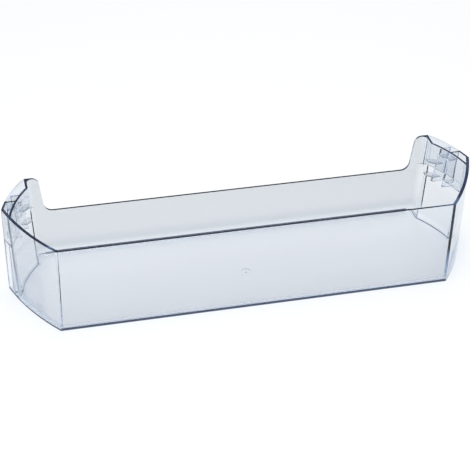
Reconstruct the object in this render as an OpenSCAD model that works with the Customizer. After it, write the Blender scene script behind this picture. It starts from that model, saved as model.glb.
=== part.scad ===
// Fridge door shelf: one injection-moulded tray of clear plastic with a hanger block at each end.
// The tray rests on door lugs that enter the blocks from below and bear on the seats inside them.
// Millimetres. X runs along the shelf, the door is at +Y, Z is up, the origin is under the middle.

/* [Tray] */
// Depth from the foot of the front wall to the door side of the back wall
depth = 131.5; // [115:0.5:150]
// Height of the rim, level all round the front, the corners and the blocks
rim_h = 97; // [85:0.5:110]
// Half length of the straight front wall, to its sharp outer corner
front_half = 200.2; // [180:0.2:230]
// Thickness of every wall
wall = 2.3; // [1.8:0.1:3]
// Thickness of the floor
floor_t = 2.4; // [2:0.1:3.2]
// Lean of the front wall away from the door
front_draft = 0.6; // [0.2:0.1:2]
// Radius of the fillet where the walls meet the floor, inside
floor_fillet = 5; // [2:0.5:8]
// Radius on the lower outside edge of the front wall and the back wall
foot_radius = 0.8; // [0.4:0.1:2]
// Radius on the lower outside edge under the side walls
side_foot = 4; // [1:0.1:7]
// Height of the low middle part of the back wall
back_h = 56; // [40:0.5:70]

/* [Corner walls] */
// Half width over the free vertical edges of the corner walls, the widest place
wing_half = 244.3; // [220:0.1:270]
// Distance of that free edge from the front wall
wing_y = 80.3; // [70:0.1:90]
// Outward bow of the corner wall over its chord
corner_bow = 4.4; // [2:0.2:8]
// Lean of the corner walls
corner_draft = 0.5; // [0.2:0.1:1.5]
// Thickness of the corner walls, which take the knocks
corner_t = 3.2; // [2:0.1:4]
// Radius of the upright edge between front wall and corner wall, outside
front_round = 3.6; // [2:0.1:6]
// Radius of the same corner, inside
front_fillet = 1.3; // [0.6:0.1:3]

/* [Side walls] */
// Radius of the curved side wall at the rim, inside
side_r = 121.8; // [110:0.2:140]
// Centre of that curve along the shelf
side_cx = 117; // [100:0.5:130]
// Centre of that curve from the front wall
side_cy = 40.4; // [30:0.2:50]
// Half width between the straight necks at the door side, at the rim
neck_half = 214.2; // [200:0.2:225]
// Lean of the side walls and necks
side_draft = 3.2; // [1:0.1:5]
// Radius of the upright corner between neck and back wall, inside
neck_corner = 6; // [3:0.5:8]

/* [Hanger blocks] */
// Radius of the outer skin of a block
skin_r = 146.8; // [135:0.2:160]
// Centre of the skin along the shelf
skin_cx = 102.9; // [90:0.1:115]
// Centre of the skin from the front wall
skin_cy = 40.5; // [30:0.1:50]
// Radius of the upright corner where the skin meets the back wall
skin_corner = 12; // [6:0.5:14]
// Height of the lower edge of the skin
skin_z = 62; // [55:0.5:75]
// Thickness of the webs and plates inside a block
web_t = 2; // [1.5:0.1:2.5]
// Position of the front web at the rim, from the front wall
web_front_y = 93; // [88:0.5:96]
// Position of the rear web at the rim
web_rear_y = 104.3; // [100:0.1:110]
// Lean of the front web, its foot nearer the door
web_front_tilt = 3; // [0:0.5:6]
// Lean of the rear web
web_rear_tilt = 5.4; // [0:0.2:10]
// Height of the lower end of both webs
web_z = 52.5; // [48:0.5:56]
// Depth of the shallow top recess between the two webs
recess_d = 9; // [5:0.5:14]
// Height of the seat plate at the rear web, its top face
seat_z = 59; // [56:0.5:61]
// Height of the guide plate over it at the rear web, its top face
guide_z = 76.5; // [72:0.5:82]
// Fall of both plates towards the door, which draws the tray against it
seat_tilt = 12; // [0:0.5:20]
// Length of both plates from the rear web
seat_len = 14.5; // [8:0.5:20]
// Gap between the two plates and the skin
seat_gap = 2.5; // [1.5:0.1:4]
// Position of the rib under the front pocket of a block
rib_y = 71.5; // [68:0.5:78]

/* [Ears] */
// Half distance between the upright edges of the ears at mid height
ear_half = 199.9; // [190:0.1:206]
// Lean of those edges
ear_lean = 7.2; // [0:0.2:12]
// Radius of the hollow corner where an ear rises from the low wall
ear_fillet = 9.5; // [5:0.5:14]
// Radius of the rounded top of an ear
ear_round = 8; // [4:0.5:11]

/* [Underside] */
// Distance of the moulding gate from the front wall
gate_y = 58; // [40:1:90]
// Radius of the shallow well round the gate
gate_well_r = 5; // [3:0.5:8]
// Radius of the gate stub in it
gate_r = 1.3; // [0.8:0.1:2]
// Depth of the well
gate_d = 0.7; // [0.4:0.1:1]

/* [Hidden] */
$fn = 96;
// Cutters overshoot the faces they open by this much.
over = 3;
// Rounds miss true tangency by this much, so that every edge is a clean crossing.
kiss = 0.02;
// Corner wall: chord from the front corner to the free edge, and the circle over it.
chord_x = wing_half - front_half;
chord_y = wing_y + rim_h * tan(front_draft);
chord = norm([chord_x, chord_y]);
corner_r = (chord * chord / 4 + corner_bow * corner_bow) / (2 * corner_bow);
corner_cx = (front_half + wing_half) / 2 - (corner_r - corner_bow) * chord_y / chord;
corner_cy = wing_y - chord_y / 2 + (corner_r - corner_bow) * chord_x / chord;
// The ends are cut from full cones, the middle is a plain box that overlaps them.
mid_half = front_half - 4 * floor_fillet;
end_from = mid_half - 3 * floor_fillet;
// Where the curved side wall runs into the straight neck.
kink_y = side_cy + sqrt(pow(side_r, 2) - pow(neck_half - side_cx, 2));
// Everything in a block lies further out and further back than these.
block_x = neck_half - 4 * wall;
block_y = 0.7 * rib_y;
block_w = wing_half + 4 * wall - block_x;

// Inside of the corner wall of the right end, as a cone. Where t is wall, this is the
// wall's inner face, and where t is 0 its outer face.
module corner_cone(t, z0, z1) {
    r = corner_r - t * corner_t / wall;
    translate([corner_cx, corner_cy, z0])
        cylinder(
            r1 = r - (rim_h - z0) * tan(corner_draft),
            r2 = r + (z1 - rim_h) * tan(corner_draft),
            h = z1 - z0
        );
}

// Point at height z that is a behind the outer face of the front wall and b inside the
// outer face of the corner wall.
function front_axis(a, b, z) =
    let (
        y = a - z * tan(front_draft),
        r = corner_r - b - (rim_h - z) * tan(corner_draft)
    )
    [corner_cx + sqrt(pow(r, 2) - pow(y - corner_cy, 2)), y, z];

// What a round of radius r leaves of the upright corner between front wall and corner
// wall. Its axis is a and b inside their outer faces, and the piece reaches e past it.
module front_corner(a, b, r, e) {
    foot = front_axis(a, b, 0);
    head = front_axis(a, b, rim_h);
    way = head - foot;
    spoke = [foot[0] - corner_cx, foot[1] - corner_cy];
    out = spoke / norm(spoke);
    far = (out + [0, -1]) / (1 - out[1]);
    translate(foot)
        rotate([-asin(way[1] / norm(way)), atan2(way[0], way[2]), 0])
            translate([0, 0, -over])
                difference() {
                    linear_extrude(height = rim_h + 2 * over)
                        polygon([
                            [0, 0],
                            [0, -r - e],
                            far * (r + e),
                            out * (r + e)
                        ]);
                    translate([0, 0, -1])
                        cylinder(r = r + kiss, h = rim_h + 2 * over + 2);
                }
}

// Half section of the space inside a wall that leans outwards: wall_x is the wall at the
// rim, z0 the floor, r the round between them and from_x the open side.
module bowl_profile(wall_x, lean, z0, z1, r, from_x) {
    foot_x = wall_x - (rim_h - z0) * tan(lean);
    cx = foot_x + r * tan(lean) - r / cos(lean);
    cz = z0 + r;
    polygon([
        [from_x, z0],
        [cx, z0],
        [cx + r * cos(lean), cz - r * sin(lean)],
        [wall_x + (z1 - rim_h) * tan(lean), z1],
        [from_x, z1]
    ]);
    if (r > kiss)
        translate([cx, cz])
            circle(r = r + kiss);
}

// Inside of the side wall and the neck of the right end, t outside its inner face, with
// a round of radius r where it meets z0.
module side_space(t, z0, z1, r) {
    translate([side_cx, side_cy, 0])
        rotate_extrude()
            bowl_profile(side_r + t, side_draft, z0, z1, r, 0);
    translate([0, depth + over, 0])
        rotate([90, 0, 0])
            linear_extrude(height = depth + over - kink_y + 8 * wall)
                bowl_profile(neck_half + t, side_draft, z0, z1, r, end_from);
}

// One end of the tray volume: inset is measured from the outer faces of the walls.
module end_volume(inset, z0, z1, r = 0) {
    intersection() {
        side_space(wall - inset, z0, z1, r);
        corner_cone(inset, z0, z1);
        translate([end_from, -chord_y, z0 - over])
            cube([wing_half, depth + 2 * chord_y, z1 - z0 + 2 * over]);
    }
}

// The tray as a solid, inset from the outer faces, with rounds of radius r along its
// front and back lower edges and of radius side_round under its side walls.
module tray_volume(inset, z0, z1, r, side_round = 0) {
    intersection() {
        rotate([90, 0, 90])
            linear_extrude(height = 2.5 * wing_half, center = true)
                trough_profile(inset, z0, z1, r);
        union() {
            translate([-mid_half, -chord_y, z0])
                cube([2 * mid_half, depth + 2 * chord_y, z1 - z0]);
            end_volume(inset, z0, z1, side_round);
            mirror([1, 0, 0])
                end_volume(inset, z0, z1, side_round);
        }
    }
}

// Section of the tray across its length: leaning front, upright back, two lower rounds.
module trough_profile(inset, z0, z1, r) {
    lean = front_draft;
    foot_y = inset - z0 * tan(lean);
    head_y = inset - z1 * tan(lean);
    cy = foot_y - r * tan(lean) + r / cos(lean);
    cz = z0 + r;
    back_y = depth - inset;
    polygon([
        [back_y - r, z0],
        [back_y, cz],
        [back_y, z1],
        [head_y, z1],
        [cy - r * cos(lean), cz - r * sin(lean)],
        [cy, z0]
    ]);
    miss = inset > 0 ? kiss : -kiss;
    translate([cy, cz])
        circle(r = r + miss);
    translate([back_y - r, cz])
        circle(r = r + miss);
}

// Section of the fillet between the floor and a wall whose inner face is at wall_x at
// the rim and leans outwards.
module fillet_profile(wall_x, lean) {
    r = floor_fillet;
    foot_x = wall_x - (rim_h - floor_t) * tan(lean);
    cx = foot_x + r * tan(lean) - r / cos(lean);
    difference() {
        polygon([
            [cx, floor_t / 2],
            [foot_x + wall / 2, floor_t / 2],
            [foot_x + wall / 2, floor_t + r],
            [cx, floor_t + r]
        ]);
        translate([cx, floor_t + r])
            circle(r = r + kiss);
    }
}

// Floor fillet along the corner wall of one end.
module corner_fillet() {
    intersection() {
        translate([corner_cx, corner_cy, 0])
            rotate_extrude()
                fillet_profile(corner_r - corner_t, corner_draft);
        end_volume(wall / 2, floor_t / 2, rim_h);
        translate([end_from, wall / 2, 0])
            cube([wing_half, wing_y, floor_t + 2 * floor_fillet]);
    }
}

// What a round of radius r leaves of the upright corner between neck and back wall. Its
// axis leans with the neck, and the piece reaches e past it.
module neck_corner_piece(r, e) {
    translate([neck_half, depth - wall, rim_h])
        rotate([0, side_draft, 0])
            translate([-neck_corner, -neck_corner, -rim_h - 2 * over])
                difference() {
                    cube([r + e, r + e, rim_h + 3 * over]);
                    translate([0, 0, -1])
                        cylinder(r = r + kiss, h = rim_h + 3 * over + 2);
                }
}

// Fillets of the upright corners inside the tray.
module upright_fillets() {
    intersection() {
        union() {
            neck_corner_piece(neck_corner, wall / 2);
            front_corner(wall + front_fillet, corner_t + front_fillet, front_fillet, wall / 2);
        }
        translate([end_from, -chord_y, floor_t / 2])
            cube([wing_half, depth + 2 * chord_y, rim_h - floor_t / 2]);
    }
}

// Rounds of the same corners outside. The neck is rounded up to the lower edge of the
// skin, where the rear of the block begins.
module upright_rounds() {
    front_corner(front_round, front_round, front_round, over);
    intersection() {
        neck_corner_piece(neck_corner + wall, over);
        translate([end_from, 0, -over])
            cube([wing_half, depth + over, skin_z + over]);
    }
}

// Plan area of a hanger block and its corner wall, t inside the outer faces.
module block_area(t, z0, z1) {
    r = skin_corner;
    ty = depth - r;
    tx = skin_cx + sqrt(pow(skin_r - r, 2) - pow(ty - skin_cy, 2));
    skin_x = skin_cx + (tx - skin_cx) * skin_r / (skin_r - r);
    skin_y = skin_cy + (ty - skin_cy) * skin_r / (skin_r - r);
    intersection() {
        corner_cone(t, z0, z1);
        union() {
            intersection() {
                translate([skin_cx, skin_cy, z0])
                    cylinder(r = skin_r - t, h = z1 - z0, $fn = 180);
                translate([0, 0, z0])
                    linear_extrude(height = z1 - z0)
                        polygon([
                            [block_x - over, block_y],
                            [block_x + block_w, block_y],
                            [block_x + block_w, skin_y],
                            [skin_x, skin_y],
                            [tx, depth - t],
                            [block_x - over, depth - t]
                        ]);
            }
            translate([tx, ty, z0])
                cylinder(r = r - t - kiss, h = z1 - z0);
        }
    }
}

// Corner wall carried on past the side wall, and the outer skin of the block.
module block_skin() {
    difference() {
        intersection() {
            block_area(0, 0, rim_h);
            union() {
                translate([block_x, block_y, 0])
                    cube([block_w, wing_y - block_y, rim_h]);
                translate([block_x, block_y, skin_z])
                    cube([block_w, depth - block_y, rim_h - skin_z]);
            }
        }
        block_area(wall, -1, rim_h + over);
    }
}

// Distance of the rear web from the front wall at height z.
function rear_web_y(z) = web_rear_y + (rim_h - z) * tan(web_rear_tilt);

// A web across the block: top edge at y on the rim, leaning back towards its foot.
module web(y, tilt) {
    translate([block_x, y, rim_h])
        rotate([tilt, 0, 0])
            translate([0, -web_t / 2, -rim_h])
                cube([block_w, web_t, rim_h + over]);
}

// A plate that runs back from the rear web and falls towards the door.
module seat_plate(z) {
    translate([block_x, rear_web_y(z), z])
        rotate([-seat_tilt, 0, 0])
            translate([0, 0, -web_t])
                cube([block_w, seat_len, web_t]);
}

// Webs, plates and seats that divide a block.
module block_inside() {
    intersection() {
        block_area(wall / 2, 0.2, rim_h);
        union() {
            intersection() {
                union() {
                    web(web_front_y, web_front_tilt);
                    web(web_rear_y, web_rear_tilt);
                }
                translate([block_x, block_y, web_z])
                    cube([block_w, depth - block_y, rim_h]);
            }
            translate([block_x, web_front_y, rim_h - recess_d - web_t])
                cube([block_w, web_rear_y - web_front_y + web_t / 2, web_t]);
            translate([block_x, web_rear_y, rim_h - web_t])
                cube([block_w, depth - web_rear_y, web_t]);
            translate([block_x, block_y, skin_z - web_t])
                cube([block_w, web_front_y + web_t - block_y, web_t]);
            translate([block_x, rib_y - web_t / 2, 0])
                cube([block_w, web_t, skin_z - web_t / 2]);
        }
    }
    intersection() {
        block_area(wall + seat_gap, 0.2, rim_h);
        union() {
            seat_plate(seat_z);
            seat_plate(guide_z);
        }
    }
}

// Outline of what is missing from the back wall between the ears.
module ear_gap_profile() {
    mid_z = (back_h + rim_h) / 2;
    lo_z = back_h + ear_fillet;
    lo_x = ear_half + tan(ear_lean) * (lo_z - mid_z) - ear_fillet / cos(ear_lean);
    hi_z = rim_h - ear_round;
    hi_x = ear_half + tan(ear_lean) * (hi_z - mid_z) + ear_round / cos(ear_lean);
    lo_tx = lo_x + ear_fillet * cos(ear_lean);
    lo_tz = lo_z - ear_fillet * sin(ear_lean);
    hi_tx = hi_x - ear_round * cos(ear_lean);
    hi_tz = hi_z + ear_round * sin(ear_lean);
    polygon([
        [-lo_x, back_h],
        [lo_x, back_h],
        [lo_tx, lo_tz],
        [hi_tx, hi_tz],
        [hi_tx, rim_h + over],
        [-hi_tx, rim_h + over],
        [-hi_tx, hi_tz],
        [-lo_tx, lo_tz]
    ]);
    for (s = [-1, 1]) {
        translate([s * lo_x, lo_z])
            circle(r = ear_fillet - kiss);
        difference() {
            polygon([
                [s * (hi_tx - 1), hi_tz],
                [s * hi_tx, hi_tz],
                [s * hi_x, rim_h],
                [s * hi_x, rim_h + over],
                [s * (hi_tx - 1), rim_h + over]
            ]);
            translate([s * hi_x, hi_z])
                circle(r = ear_round + kiss);
        }
    }
}

module ear_gap() {
    translate([0, depth + over, 0])
        rotate([90, 0, 0])
            linear_extrude(height = wall + 2 * over)
                ear_gap_profile();
}

module gate_well() {
    difference() {
        translate([0, gate_y, -1])
            cylinder(r = gate_well_r, h = gate_d + 1);
        translate([0, gate_y, -2])
            cylinder(r = gate_r, h = gate_d + 3);
    }
}

module door_shelf() {
    color([0.80, 0.87, 0.93, 0.45])
        translate([0, (rim_h * tan(front_draft) - depth) / 2, 0])
            difference() {
                union() {
                    difference() {
                        union() {
                            tray_volume(0, 0, rim_h, foot_radius, side_foot);
                            for (s = [0, 1])
                                mirror([s, 0, 0]) {
                                    block_skin();
                                    block_inside();
                                }
                        }
                        tray_volume(
                            wall, floor_t, rim_h + over, floor_fillet, floor_fillet
                        );
                    }
                    for (s = [0, 1])
                        mirror([s, 0, 0]) {
                            upright_fillets();
                            corner_fillet();
                        }
                }
                for (s = [0, 1])
                    mirror([s, 0, 0])
                        upright_rounds();
                ear_gap();
                gate_well();
            }
}

door_shelf();
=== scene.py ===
"""Finish, studio and camera for a clear plastic fridge door shelf.

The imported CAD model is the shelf. This script gives it its clear tinted plastic, stands it
on a plain pale floor under soft light and looks at it from the photograph's viewpoint.
All lengths are metres, in the frame of the CAD model.
"""

import logging
import math
from dataclasses import dataclass, field
from enum import Enum
from typing import NamedTuple

import bpy
from mathutils import Matrix, Vector

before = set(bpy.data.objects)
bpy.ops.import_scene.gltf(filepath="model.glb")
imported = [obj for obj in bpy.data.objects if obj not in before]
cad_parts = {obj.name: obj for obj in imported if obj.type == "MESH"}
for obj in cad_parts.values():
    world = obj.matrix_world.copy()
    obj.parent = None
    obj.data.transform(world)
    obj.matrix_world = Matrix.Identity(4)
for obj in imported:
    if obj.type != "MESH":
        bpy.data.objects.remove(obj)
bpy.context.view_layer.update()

log = logging.getLogger("door_shelf")

Colour = tuple[float, float, float]
Place = tuple[float, float, float]
Span = tuple[float, float]

DEEP_BOUNCES = 48
GLOSS_BOUNCES = 12


class Zone(Enum):
    """Parts of the tray that get different painted light and shade, by where they lie."""

    FRONT = "front"
    FRONT_TOP = "top of the front wall"
    FLOOR = "floor"
    FLOOR_BACK = "floor near the door"
    FILLET = "round between floor and back"
    CREASE = "round between floor and side"
    BACK_LOW = "foot of the back wall"
    BACK = "back"
    SIDE = "side wall below the block"
    WING = "below the block"
    BLOCK = "block"
    BLOCK_TOP = "block top"
    RIM = "rim"
    FRONT_RIM = "rim of the front wall"
    FOOT = "foot"


class Axes(NamedTuple):
    """The three parts of a vector as sockets."""

    x: bpy.types.NodeSocket
    y: bpy.types.NodeSocket
    z: bpy.types.NodeSocket


class Surface(NamedTuple):
    """Where a point of the tray lies and which way its face looks, as sockets.

    spot is the place as one vector and at the same place in parts. facing is the normal, out
    the distance from the middle, reach the distance from the centre of the side wall's
    curve, and ahead is 1 on the front wall.
    """

    spot: bpy.types.NodeSocket
    at: Axes
    facing: Axes
    out: bpy.types.NodeSocket
    reach: bpy.types.NodeSocket
    ahead: bpy.types.NodeSocket


class NodeSheet:
    """A material's node tree with short ways to add and join nodes."""

    def __init__(self, name: str) -> None:
        """Start an empty node material.

        Args:
            name: Name of the material.
        """
        self.material = bpy.data.materials.new(name)
        self.material.use_nodes = True
        self.tree = self.material.node_tree
        self.tree.nodes.clear()

    def add(self, kind: str, **values: object) -> bpy.types.Node:
        """Add one node and set its properties.

        Args:
            kind: Blender's type name of the node.
            values: Properties of the node by name.

        Returns:
            The new node.
        """
        node = self.tree.nodes.new(kind)
        for key, value in values.items():
            setattr(node, key, value)
        return node

    def join(self, source: bpy.types.NodeSocket, target: bpy.types.NodeSocket) -> None:
        """Link an output socket to an input socket."""
        self.tree.links.new(source, target)

    def math(
        self,
        operation: str,
        first: bpy.types.NodeSocket | float,
        second: bpy.types.NodeSocket | float,
    ) -> bpy.types.NodeSocket:
        """Add a Math node.

        Args:
            operation: Name of the operation.
            first: A socket or a number.
            second: A socket or a number.

        Returns:
            The node's output socket.
        """
        node = self.add("ShaderNodeMath", operation=operation)
        for slot, value in zip(node.inputs, (first, second)):
            if isinstance(value, bpy.types.NodeSocket):
                self.join(value, slot)
            else:
                slot.default_value = value
        return node.outputs[0]

    def parts(self, vector: bpy.types.NodeSocket) -> Axes:
        """Split a vector into its three parts."""
        node = self.add("ShaderNodeSeparateXYZ")
        self.join(vector, node.inputs[0])
        return Axes(*node.outputs)

    def length(
        self, first: bpy.types.NodeSocket, second: bpy.types.NodeSocket
    ) -> bpy.types.NodeSocket:
        """Length of a step that goes first one way and second the other."""
        squares = (self.math("MULTIPLY", part, part) for part in (first, second))
        return self.math("SQRT", self.math("ADD", *squares), 0.0)

    def ramp(
        self, source: bpy.types.NodeSocket, low: float, high: float
    ) -> bpy.types.NodeSocket:
        """Map a value smoothly from 0 at low to 1 at high.

        Args:
            source: Socket with the value.
            low: Value that gives 0.
            high: Value that gives 1.

        Returns:
            The socket with the result.
        """
        node = self.add("ShaderNodeMapRange", interpolation_type="SMOOTHSTEP")
        self.join(source, node.inputs["Value"])
        node.inputs["From Min"].default_value = low
        node.inputs["From Max"].default_value = high
        return node.outputs["Result"]

    def blend(
        self,
        factor: bpy.types.NodeSocket,
        first: bpy.types.NodeSocket | Colour,
        second: bpy.types.NodeSocket | Colour,
    ) -> bpy.types.NodeSocket:
        """Mix two colours.

        Args:
            factor: Socket with the share of the second colour.
            first: Colour at factor 0.
            second: Colour at factor 1.

        Returns:
            The socket with the mixed colour.
        """
        node = self.add("ShaderNodeMix", data_type="RGBA")
        self.join(factor, node.inputs["Factor"])
        for slot, value in ((node.inputs[6], first), (node.inputs[7], second)):
            if isinstance(value, bpy.types.NodeSocket):
                self.join(value, slot)
            else:
                slot.default_value = (*value, 1.0)
        return node.outputs[2]


@dataclass(frozen=True)
class ClearPlastic:
    """Clear injection-moulded plastic with a pale blue tint, and painted dark navy shade on
    its edges.

    The tints by zone are fitted to the tones of the photograph. They make up for light that
    the plain studio lacks, and are not a property of one even plastic. A span gives the two
    places between which one tint fades into the next. The matt underside is a guess.
    """

    name: str = "clear_blue_plastic"
    # Each zone's colour is partly the plastic's pale tint and partly painted light and
    # shade: lighter and darker tones stand in for how light falls, and the rims and the foot
    # are painted dark shade.
    tints_and_painted_light: dict[Zone, Colour] = field(
        default_factory=lambda: {
            Zone.FRONT: (0.93, 0.935, 0.94),
            # Painted light: the top of the front wall lighter.
            Zone.FRONT_TOP: (1.0, 1.0, 1.0),
            Zone.FLOOR: (0.87, 0.865, 0.865),
            # Painted light: the floor lighter near the door.
            Zone.FLOOR_BACK: (0.985, 0.975, 0.965),
            # Painted shade in the round between floor and back.
            Zone.FILLET: (0.85, 0.86, 0.875),
            # Painted shade in the round between floor and side wall.
            Zone.CREASE: (0.88, 0.895, 0.91),
            # Painted shade: the back wall darker than the front, darkest at its foot.
            Zone.BACK_LOW: (0.655, 0.68, 0.705),
            Zone.BACK: (0.725, 0.745, 0.765),
            # Painted shade on the side wall below the block and on the block.
            Zone.SIDE: (0.83, 0.845, 0.86),
            Zone.WING: (1.0, 1.0, 1.0),
            Zone.BLOCK: (0.88, 0.895, 0.91),
            # Painted light: the matt block tops get a pale tint.
            Zone.BLOCK_TOP: (0.80, 0.83, 0.87),
            # Painted dark shade on the rims, where light trapped in the walls leaves them
            # dark.
            Zone.RIM: (0.008, 0.014, 0.035),
            # Painted light: the rim of the front wall less dark than the other rims.
            Zone.FRONT_RIM: (0.70, 0.62, 0.46),
            # Painted dark shade on the lower edge.
            Zone.FOOT: (0.006, 0.010, 0.028),
        }
    )
    ior: float = 1.5
    roughness: float = 0.02
    underside_matt: float = 0.45
    underside_height: float = 0.0003
    depth_colour: Colour = (0.10, 0.35, 0.66)
    depth_density: float = 20.0
    # Painted light: a faint blue glow, though the plastic is no lamp, that lends the dark
    # edges a navy hue.
    glow: Colour = (0.25, 0.55, 1.0)
    glow_strength: float = 0.0015
    wall_span: Span = (0.004, 0.012)
    floor_span: Span = (-0.06, 0.03)
    fillet_span: Span = (0.054, 0.060)
    front_span: Span = (0.055, 0.092)
    front_wall: float = -0.055
    front_half: float = 0.2
    behind_span: Span = (0.035, 0.062)
    back_span: Span = (0.010, 0.024)
    block_span: Span = (0.207, 0.216)
    wing_span: Span = (0.045, 0.060)
    crease_height: float = 0.0085
    crease_tilt: Span = (0.25, 0.95)
    level_face: float = 0.9
    upright_face: float = 0.75
    rim_height: float = 0.0955
    side_centre: tuple[float, float] = (0.117, -0.02484)
    side_outside: float = 0.1243
    side_limit: float = 0.1260
    neck_outside: float = 0.2166
    neck_from: float = 0.0486
    block_front: float = 0.0295
    foot_front: float = 0.0035
    foot_corner: float = 0.0021
    matt_share: float = 0.75
    flow_scale: float = 9.0
    flow_detail: float = 2.0
    flow_share: float = 0.05
    flow_cloud: Colour = (1.0, 1.0, 1.0)
    ripple_scale: float = 38.0
    ripple_detail: float = 1.0
    ripple_strength: float = 0.25
    ripple_height: float = 0.00002
    shadow: Colour = (1.0, 1.0, 1.0)

    def material(self) -> bpy.types.Material:
        """Build the node material.

        Returns:
            The finished material.
        """
        sheet = NodeSheet(self.name)
        where = self._surface(sheet)
        block_top, rim = self._top_faces(sheet, where)
        # Painted dark shade on the rims, less dark on the rim of the front wall.
        edge = sheet.blend(where.ahead, self.tints_and_painted_light[Zone.RIM], self.tints_and_painted_light[Zone.FRONT_RIM])
        tint = sheet.blend(rim, self._walls(sheet, where), edge)
        # Painted light: a pale tint on the matt block tops.
        tint = sheet.blend(block_top, tint, self.tints_and_painted_light[Zone.BLOCK_TOP])
        # Painted dark shade on the lower edge.
        tint = sheet.blend(self._foot(sheet, where), tint, self.tints_and_painted_light[Zone.FOOT])
        matt = sheet.math("MULTIPLY", block_top, self.matt_share)
        see_through = sheet.math("SUBTRACT", 1.0, matt)

        plastic = sheet.add("ShaderNodeBsdfPrincipled")
        plastic.inputs["IOR"].default_value = self.ior
        # Painted light: a faint blue glow that lends the dark edges a navy hue.
        plastic.inputs["Emission Color"].default_value = (*self.glow, 1.0)
        plastic.inputs["Emission Strength"].default_value = self.glow_strength
        sheet.join(self._gloss(sheet, where), plastic.inputs["Roughness"])
        sheet.join(see_through, plastic.inputs["Transmission Weight"])
        # Base colour: the plastic's pale tint with painted light and shade.
        sheet.join(tint, plastic.inputs["Base Color"])
        sheet.join(self._ripple(sheet, where.spot), plastic.inputs["Normal"])

        depth = sheet.add("ShaderNodeVolumeAbsorption")
        depth.inputs["Color"].default_value = (*self.depth_colour, 1.0)
        depth.inputs["Density"].default_value = self.depth_density

        output = sheet.add("ShaderNodeOutputMaterial")
        sheet.join(self._let_soft_light_by(sheet, plastic), output.inputs["Surface"])
        sheet.join(depth.outputs[0], output.inputs["Volume"])
        return sheet.material

    def _surface(self, sheet: NodeSheet) -> Surface:
        """Measure the place and the facing that the zones are told apart by.

        Args:
            sheet: Node tree to add to.

        Returns:
            The sockets that the zones share.
        """
        place = sheet.add("ShaderNodeTexCoord")
        spot = place.outputs["Object"]
        at = sheet.parts(spot)
        out = sheet.math("ABSOLUTE", at.x, 0.0)
        across = sheet.math("SUBTRACT", out, self.side_centre[0])
        along = sheet.math("SUBTRACT", at.y, self.side_centre[1])
        return Surface(
            spot=spot,
            at=at,
            facing=sheet.parts(place.outputs["Normal"]),
            out=out,
            reach=sheet.length(across, along),
            ahead=sheet.math("LESS_THAN", at.y, self.front_wall),
        )

    def _let_soft_light_by(
        self, sheet: NodeSheet, plastic: bpy.types.Node
    ) -> bpy.types.NodeSocket:
        """Let shadow and diffuse rays straight through, so that the floor stays bright.

        Args:
            sheet: Node tree to add to.
            plastic: Shader that all other rays meet.

        Returns:
            The socket with the joined shader.
        """
        clear = sheet.add("ShaderNodeBsdfTransparent")
        clear.inputs["Color"].default_value = (*self.shadow, 1.0)
        rays = sheet.add("ShaderNodeLightPath").outputs
        soft = sheet.math("MAXIMUM", rays["Is Shadow Ray"], rays["Is Diffuse Ray"])
        choice = sheet.add("ShaderNodeMixShader")
        sheet.join(soft, choice.inputs[0])
        sheet.join(plastic.outputs[0], choice.inputs[1])
        sheet.join(clear.outputs[0], choice.inputs[2])
        return choice.outputs[0]

    def _gloss(self, sheet: NodeSheet, where: Surface) -> bpy.types.NodeSocket:
        """Roughness: glossy all over, but matt on the underside of the floor.

        Args:
            sheet: Node tree to add to.
            where: Place and facing.

        Returns:
            The socket with the roughness.
        """
        flat = sheet.math("ABSOLUTE", where.facing.z, 0.0)
        level = sheet.math("GREATER_THAN", flat, self.level_face)
        low = sheet.math("LESS_THAN", where.at.z, self.underside_height)
        under = sheet.math("MULTIPLY", level, low)
        extra = sheet.math("MULTIPLY", under, self.underside_matt - self.roughness)
        return sheet.math("ADD", extra, self.roughness)

    def _top_faces(
        self, sheet: NodeSheet, where: Surface
    ) -> tuple[bpy.types.NodeSocket, bpy.types.NodeSocket]:
        """Tell the matt top of the hanger blocks, painted pale, from the rim of the walls,
        painted with dark shade.

        Args:
            sheet: Node tree to add to.
            where: Place and facing.

        Returns:
            Sockets that are 1 on the block tops and 1 on the rim, and 0 elsewhere.
        """
        level = sheet.math("GREATER_THAN", where.facing.z, self.level_face)
        high = sheet.math("GREATER_THAN", where.at.z, self.rim_height)
        top = sheet.math("MULTIPLY", level, high)
        past_side = sheet.math("GREATER_THAN", where.reach, self.side_outside)
        past_neck = sheet.math("GREATER_THAN", where.out, self.neck_outside)
        neck = sheet.math("GREATER_THAN", where.at.y, self.neck_from)
        neck_block = sheet.math("MULTIPLY", neck, past_neck)
        behind = sheet.math("GREATER_THAN", where.at.y, self.block_front)
        side_block = sheet.math(
            "MULTIPLY",
            sheet.math("MULTIPLY", past_side, behind),
            sheet.math("SUBTRACT", 1.0, neck),
        )
        block = sheet.math("MAXIMUM", neck_block, side_block)
        block_top = sheet.math("MULTIPLY", top, block)
        return block_top, sheet.math("SUBTRACT", top, block_top)

    def _foot(self, sheet: NodeSheet, where: Surface) -> bpy.types.NodeSocket:
        """Find the lower edge, which is painted with dark shade where the floor shows its
        length end on.

        Args:
            sheet: Node tree to add to.
            where: Place and facing.

        Returns:
            A socket that is 1 on that edge and 0 elsewhere.
        """
        flat = sheet.math("ABSOLUTE", where.facing.z, 0.0)
        upright = sheet.math("LESS_THAN", flat, self.upright_face)
        front = sheet.math("LESS_THAN", where.out, self.front_half)
        extra = sheet.math("MULTIPLY", front, self.foot_front - self.foot_corner)
        limit = sheet.math("ADD", extra, self.foot_corner)
        low = sheet.math("LESS_THAN", where.at.z, limit)
        return sheet.math("MULTIPLY", upright, low)

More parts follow.
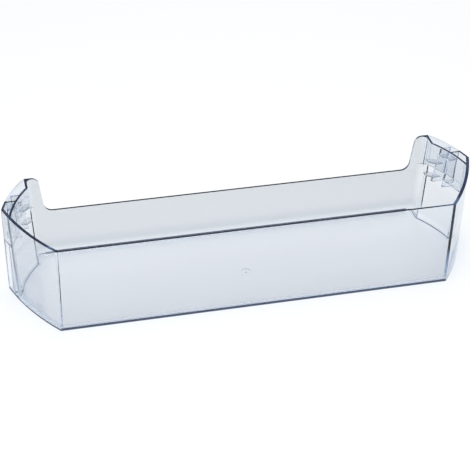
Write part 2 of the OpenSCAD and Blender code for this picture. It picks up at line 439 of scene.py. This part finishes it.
    def _crease(self, sheet: NodeSheet, where: Surface) -> bpy.types.NodeSocket:
        """Find the inside round where the floor turns up into a side wall, which gets its
        own painted shade.

        Args:
            sheet: Node tree to add to.
            where: Place and facing.

        Returns:
            A socket that is 1 on that round and 0 elsewhere.
        """
        rising = sheet.math("GREATER_THAN", where.facing.z, self.crease_tilt[0])
        bent = sheet.math("LESS_THAN", where.facing.z, self.crease_tilt[1])
        low = sheet.math("LESS_THAN", where.at.z, self.crease_height)
        side = sheet.math("GREATER_THAN", where.out, self.front_half)
        inside = sheet.math("MULTIPLY", rising, bent)
        return sheet.math("MULTIPLY", inside, sheet.math("MULTIPLY", low, side))

    def _floor(self, sheet: NodeSheet, where: Surface) -> bpy.types.NodeSocket:
        """Painted light on the floor, lighter from front to back, with painted shade on the
        round at the back.

        Args:
            sheet: Node tree to add to.
            where: Place and facing.

        Returns:
            The socket with the colour.
        """
        far = sheet.ramp(where.at.y, *self.floor_span)
        floor = sheet.blend(far, self.tints_and_painted_light[Zone.FLOOR], self.tints_and_painted_light[Zone.FLOOR_BACK])
        fillet = sheet.ramp(where.at.y, *self.fillet_span)
        return sheet.blend(fillet, floor, self.tints_and_painted_light[Zone.FILLET])

    def _ends(self, sheet: NodeSheet, where: Surface) -> bpy.types.NodeSocket:
        """Painted shade on the two ends of the tray: darkest on the side wall below the
        block, none on the wing beyond it and less on the block.

        Args:
            sheet: Node tree to add to.
            where: Place and facing.

        Returns:
            The socket with the colour.
        """
        outside = sheet.math("GREATER_THAN", where.reach, self.side_limit)
        low_end = sheet.blend(outside, self.tints_and_painted_light[Zone.SIDE], self.tints_and_painted_light[Zone.WING])
        high = sheet.ramp(where.at.z, *self.wing_span)
        return sheet.blend(high, low_end, self.tints_and_painted_light[Zone.BLOCK])

    def _walls(self, sheet: NodeSheet, where: Surface) -> bpy.types.NodeSocket:
        """Painted light and shade on walls and floor, with faint clouds from the flow.

        Args:
            sheet: Node tree to add to.
            where: Place and facing.

        Returns:
            The socket with the colour.
        """
        # Painted light: the front wall lighter towards its top.
        rise = sheet.ramp(where.at.z, *self.front_span)
        top = sheet.math("MULTIPLY", rise, where.ahead)
        front = sheet.blend(top, self.tints_and_painted_light[Zone.FRONT], self.tints_and_painted_light[Zone.FRONT_TOP])
        # Painted shade: the back wall darker, most at its foot.
        lifted = sheet.ramp(where.at.z, *self.back_span)
        back = sheet.blend(lifted, self.tints_and_painted_light[Zone.BACK_LOW], self.tints_and_painted_light[Zone.BACK])
        behind = sheet.ramp(where.at.y, *self.behind_span)
        walls = sheet.blend(behind, front, back)
        sideways = sheet.ramp(where.out, *self.block_span)
        walls = sheet.blend(sideways, walls, self._ends(sheet, where))
        upright = sheet.ramp(where.at.z, *self.wall_span)
        plain = sheet.blend(upright, self._floor(sheet, where), walls)
        # Painted shade in the round between floor and side wall.
        crease = self._crease(sheet, where)
        plain = sheet.blend(crease, plain, self.tints_and_painted_light[Zone.CREASE])
        flow = sheet.add("ShaderNodeTexNoise")
        flow.inputs["Scale"].default_value = self.flow_scale
        flow.inputs["Detail"].default_value = self.flow_detail
        sheet.join(where.spot, flow.inputs["Vector"])
        share = sheet.math("MULTIPLY", flow.outputs["Fac"], self.flow_share)
        return sheet.blend(share, plain, self.flow_cloud)

    def _ripple(
        self, sheet: NodeSheet, spot: bpy.types.NodeSocket
    ) -> bpy.types.NodeSocket:
        """Very faint unevenness of the moulded faces.

        Args:
            sheet: Node tree to add to.
            spot: Socket with the place on the object.

        Returns:
            The socket with the bumped normal.
        """
        waves = sheet.add("ShaderNodeTexNoise")
        waves.inputs["Scale"].default_value = self.ripple_scale
        waves.inputs["Detail"].default_value = self.ripple_detail
        sheet.join(spot, waves.inputs["Vector"])
        bump = sheet.add("ShaderNodeBump")
        bump.inputs["Strength"].default_value = self.ripple_strength
        bump.inputs["Distance"].default_value = self.ripple_height
        sheet.join(waves.outputs["Fac"], bump.inputs["Height"])
        return bump.outputs["Normal"]


@dataclass(frozen=True)
class PaleFloor:
    """Matt white studio floor."""

    name: str = "pale_floor"
    colour: Colour = (0.93, 0.93, 0.93)
    grain: float = 0.01
    grain_scale: float = 60.0
    grain_colour: Colour = (0.85, 0.85, 0.86)
    roughness: float = 0.9

    def material(self) -> bpy.types.Material:
        """Build the node material.

        Returns:
            The finished material.
        """
        sheet = NodeSheet(self.name)
        noise = sheet.add("ShaderNodeTexNoise")
        noise.inputs["Scale"].default_value = self.grain_scale
        share = sheet.math("MULTIPLY", noise.outputs["Fac"], self.grain)
        matt = sheet.add("ShaderNodeBsdfPrincipled")
        matt.inputs["Roughness"].default_value = self.roughness
        matt.inputs["Specular IOR Level"].default_value = 0.0
        sheet.join(
            sheet.blend(share, self.colour, self.grain_colour),
            matt.inputs["Base Color"],
        )
        output = sheet.add("ShaderNodeOutputMaterial")
        sheet.join(matt.outputs[0], output.inputs["Surface"])
        return sheet.material


@dataclass
class ShelfTray:
    """The moulded tray itself, which is one CAD node."""

    node: str = "door_shelf"
    finish: ClearPlastic = field(default_factory=ClearPlastic)
    weld_gap: float = 0.00001
    crease_angle: float = math.radians(18.0)

    def dress(self) -> bpy.types.Object:
        """Give the CAD node its plastic.

        Returns:
            The dressed object.
        """
        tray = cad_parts[self.node]
        tray.data.materials.clear()
        tray.data.materials.append(self.finish.material())
        self._shade_evenly(tray)
        return tray

    def _shade_evenly(self, tray: bpy.types.Object) -> None:
        """Join the faces' shared corners, so that the light bends softly over them.

        The shape stays as it is: only the normals change.

        Args:
            tray: Object to add the modifier to.
        """
        group = bpy.data.node_groups.new("even_shading", "GeometryNodeTree")
        for way in ("INPUT", "OUTPUT"):
            group.interface.new_socket(
                "Geometry", in_out=way, socket_type="NodeSocketGeometry"
            )
        start = group.nodes.new("NodeGroupInput")
        drop = group.nodes.new("GeometryNodeRemoveAttribute")
        drop.inputs["Name"].default_value = "custom_normal"
        weld = group.nodes.new("GeometryNodeMergeByDistance")
        weld.inputs["Distance"].default_value = self.weld_gap
        smooth = group.nodes.new("GeometryNodeSetShadeSmooth")
        smooth.domain = "FACE"
        crease = group.nodes.new("GeometryNodeSetShadeSmooth")
        crease.domain = "EDGE"
        crease.inputs["Shade Smooth"].default_value = False
        end = group.nodes.new("NodeGroupOutput")
        chain = (start, drop, weld, smooth, crease, end)
        for node, following in zip(chain, chain[1:]):
            group.links.new(node.outputs[0], following.inputs[0])
        bend = group.nodes.new("GeometryNodeInputMeshEdgeAngle")
        sharp = group.nodes.new("FunctionNodeCompare")
        sharp.operation = "GREATER_THAN"
        sharp.inputs["B"].default_value = self.crease_angle
        group.links.new(bend.outputs[0], sharp.inputs["A"])
        group.links.new(sharp.outputs[0], crease.inputs["Selection"])
        tray.modifiers.new("even_shading", "NODES").node_group = group


@dataclass
class SoftBox:
    """A square area light that shines at one point."""

    name: str
    place: Place
    size: float
    power: float
    aim: Place = (0.0, 0.0, 0.0)

    def build(self) -> bpy.types.Object:
        """Create the light.

        Returns:
            The light's object.
        """
        lamp = bpy.data.lights.new(self.name, "AREA")
        lamp.shape = "SQUARE"
        lamp.size = self.size
        lamp.energy = self.power
        box = bpy.data.objects.new(self.name, lamp)
        box.location = self.place
        towards = Vector(self.aim) - Vector(self.place)
        box.rotation_euler = towards.to_track_quat("-Z", "Y").to_euler()
        bpy.context.scene.collection.objects.link(box)
        return box


@dataclass
class Studio:
    """Pale floor, soft light from above and an even pale surrounding."""

    floor: PaleFloor = field(default_factory=PaleFloor)
    floor_size: float = 8.0
    floor_drop: float = 0.0003
    sky: Colour = (0.96, 0.98, 1.0)
    sky_strength: float = 0.50
    boxes: tuple[SoftBox, ...] = (
        SoftBox("key_box", (-0.9, -1.2, 2.4), 2.2, 35.0),
        SoftBox("top_box", (0.5, 0.6, 2.6), 2.4, 30.0),
    )

    def build(self) -> None:
        """Create the floor, the lights and the surrounding."""
        self._lay_floor()
        for box in self.boxes:
            box.build()
        self._set_sky()
        view = bpy.context.scene.view_settings
        view.view_transform = "Standard"
        view.look = "None"

    def _lay_floor(self) -> None:
        """Create the floor just under the tray."""
        half = self.floor_size / 2
        corners = [(-half, -half, 0), (half, -half, 0), (half, half, 0), (-half, half, 0)]
        mesh = bpy.data.meshes.new("floor")
        mesh.from_pydata(corners, [], [(0, 1, 2, 3)])
        mesh.materials.append(self.floor.material())
        floor = bpy.data.objects.new("floor", mesh)
        floor.location.z = -self.floor_drop
        bpy.context.scene.collection.objects.link(floor)

    def _set_sky(self) -> None:
        """Set the even light that comes from all round."""
        world = bpy.data.worlds.new("studio")
        world.use_nodes = True
        backdrop = world.node_tree.nodes["Background"]
        backdrop.inputs["Color"].default_value = (*self.sky, 1.0)
        backdrop.inputs["Strength"].default_value = self.sky_strength
        bpy.context.scene.world = world


@dataclass
class PhotoCamera:
    """Camera that was solved from the photograph."""

    place: Place = (-0.29287, -1.15885, 0.89840)
    azimuth: float = -13.703
    elevation: float = 35.623
    roll: float = 1.231
    focal_px: float = 1425.85
    image_px: int = 470
    sensor: float = 36.0
    sight: float = 50.0

    def build(self) -> bpy.types.Object:
        """Create the camera and make it the scene's.

        Returns:
            The camera's object.
        """
        az, el, roll = (math.radians(a) for a in (self.azimuth, self.elevation, self.roll))
        ahead = Vector(
            (-math.sin(az) * math.cos(el), math.cos(az) * math.cos(el), -math.sin(el))
        )
        level = Vector((math.cos(az), math.sin(az), 0.0))
        upright = level.cross(ahead)
        across = level * math.cos(roll) + upright * math.sin(roll)
        up = upright * math.cos(roll) - level * math.sin(roll)
        turn = Matrix((across, up, -ahead)).transposed()

        lens = bpy.data.cameras.new("photo_camera")
        lens.sensor_width = self.sensor
        lens.lens = self.focal_px / self.image_px * self.sensor
        lens.clip_end = self.sight
        camera = bpy.data.objects.new("photo_camera", lens)
        camera.matrix_world = Matrix.Translation(self.place) @ turn.to_4x4()
        bpy.context.scene.collection.objects.link(camera)
        bpy.context.scene.camera = camera
        return camera


def allow_deep_light() -> None:
    """Let light pass through many faces, because walls lie behind walls."""
    cycles = bpy.context.scene.cycles
    cycles.max_bounces = DEEP_BOUNCES
    cycles.transmission_bounces = DEEP_BOUNCES
    cycles.transparent_max_bounces = DEEP_BOUNCES
    cycles.glossy_bounces = GLOSS_BOUNCES
    cycles.caustics_refractive = False
    cycles.caustics_reflective = False


def main() -> None:
    """Build the scene and report each piece."""
    logging.basicConfig(level=logging.INFO, format="%(name)s: %(message)s")
    PhotoCamera().build()
    log.info("camera in place")
    tray = ShelfTray().dress()
    log.info("dressed %s", tray.name)
    Studio().build()
    log.info("studio in place")
    allow_deep_light()


if __name__ == "__main__":
    main()
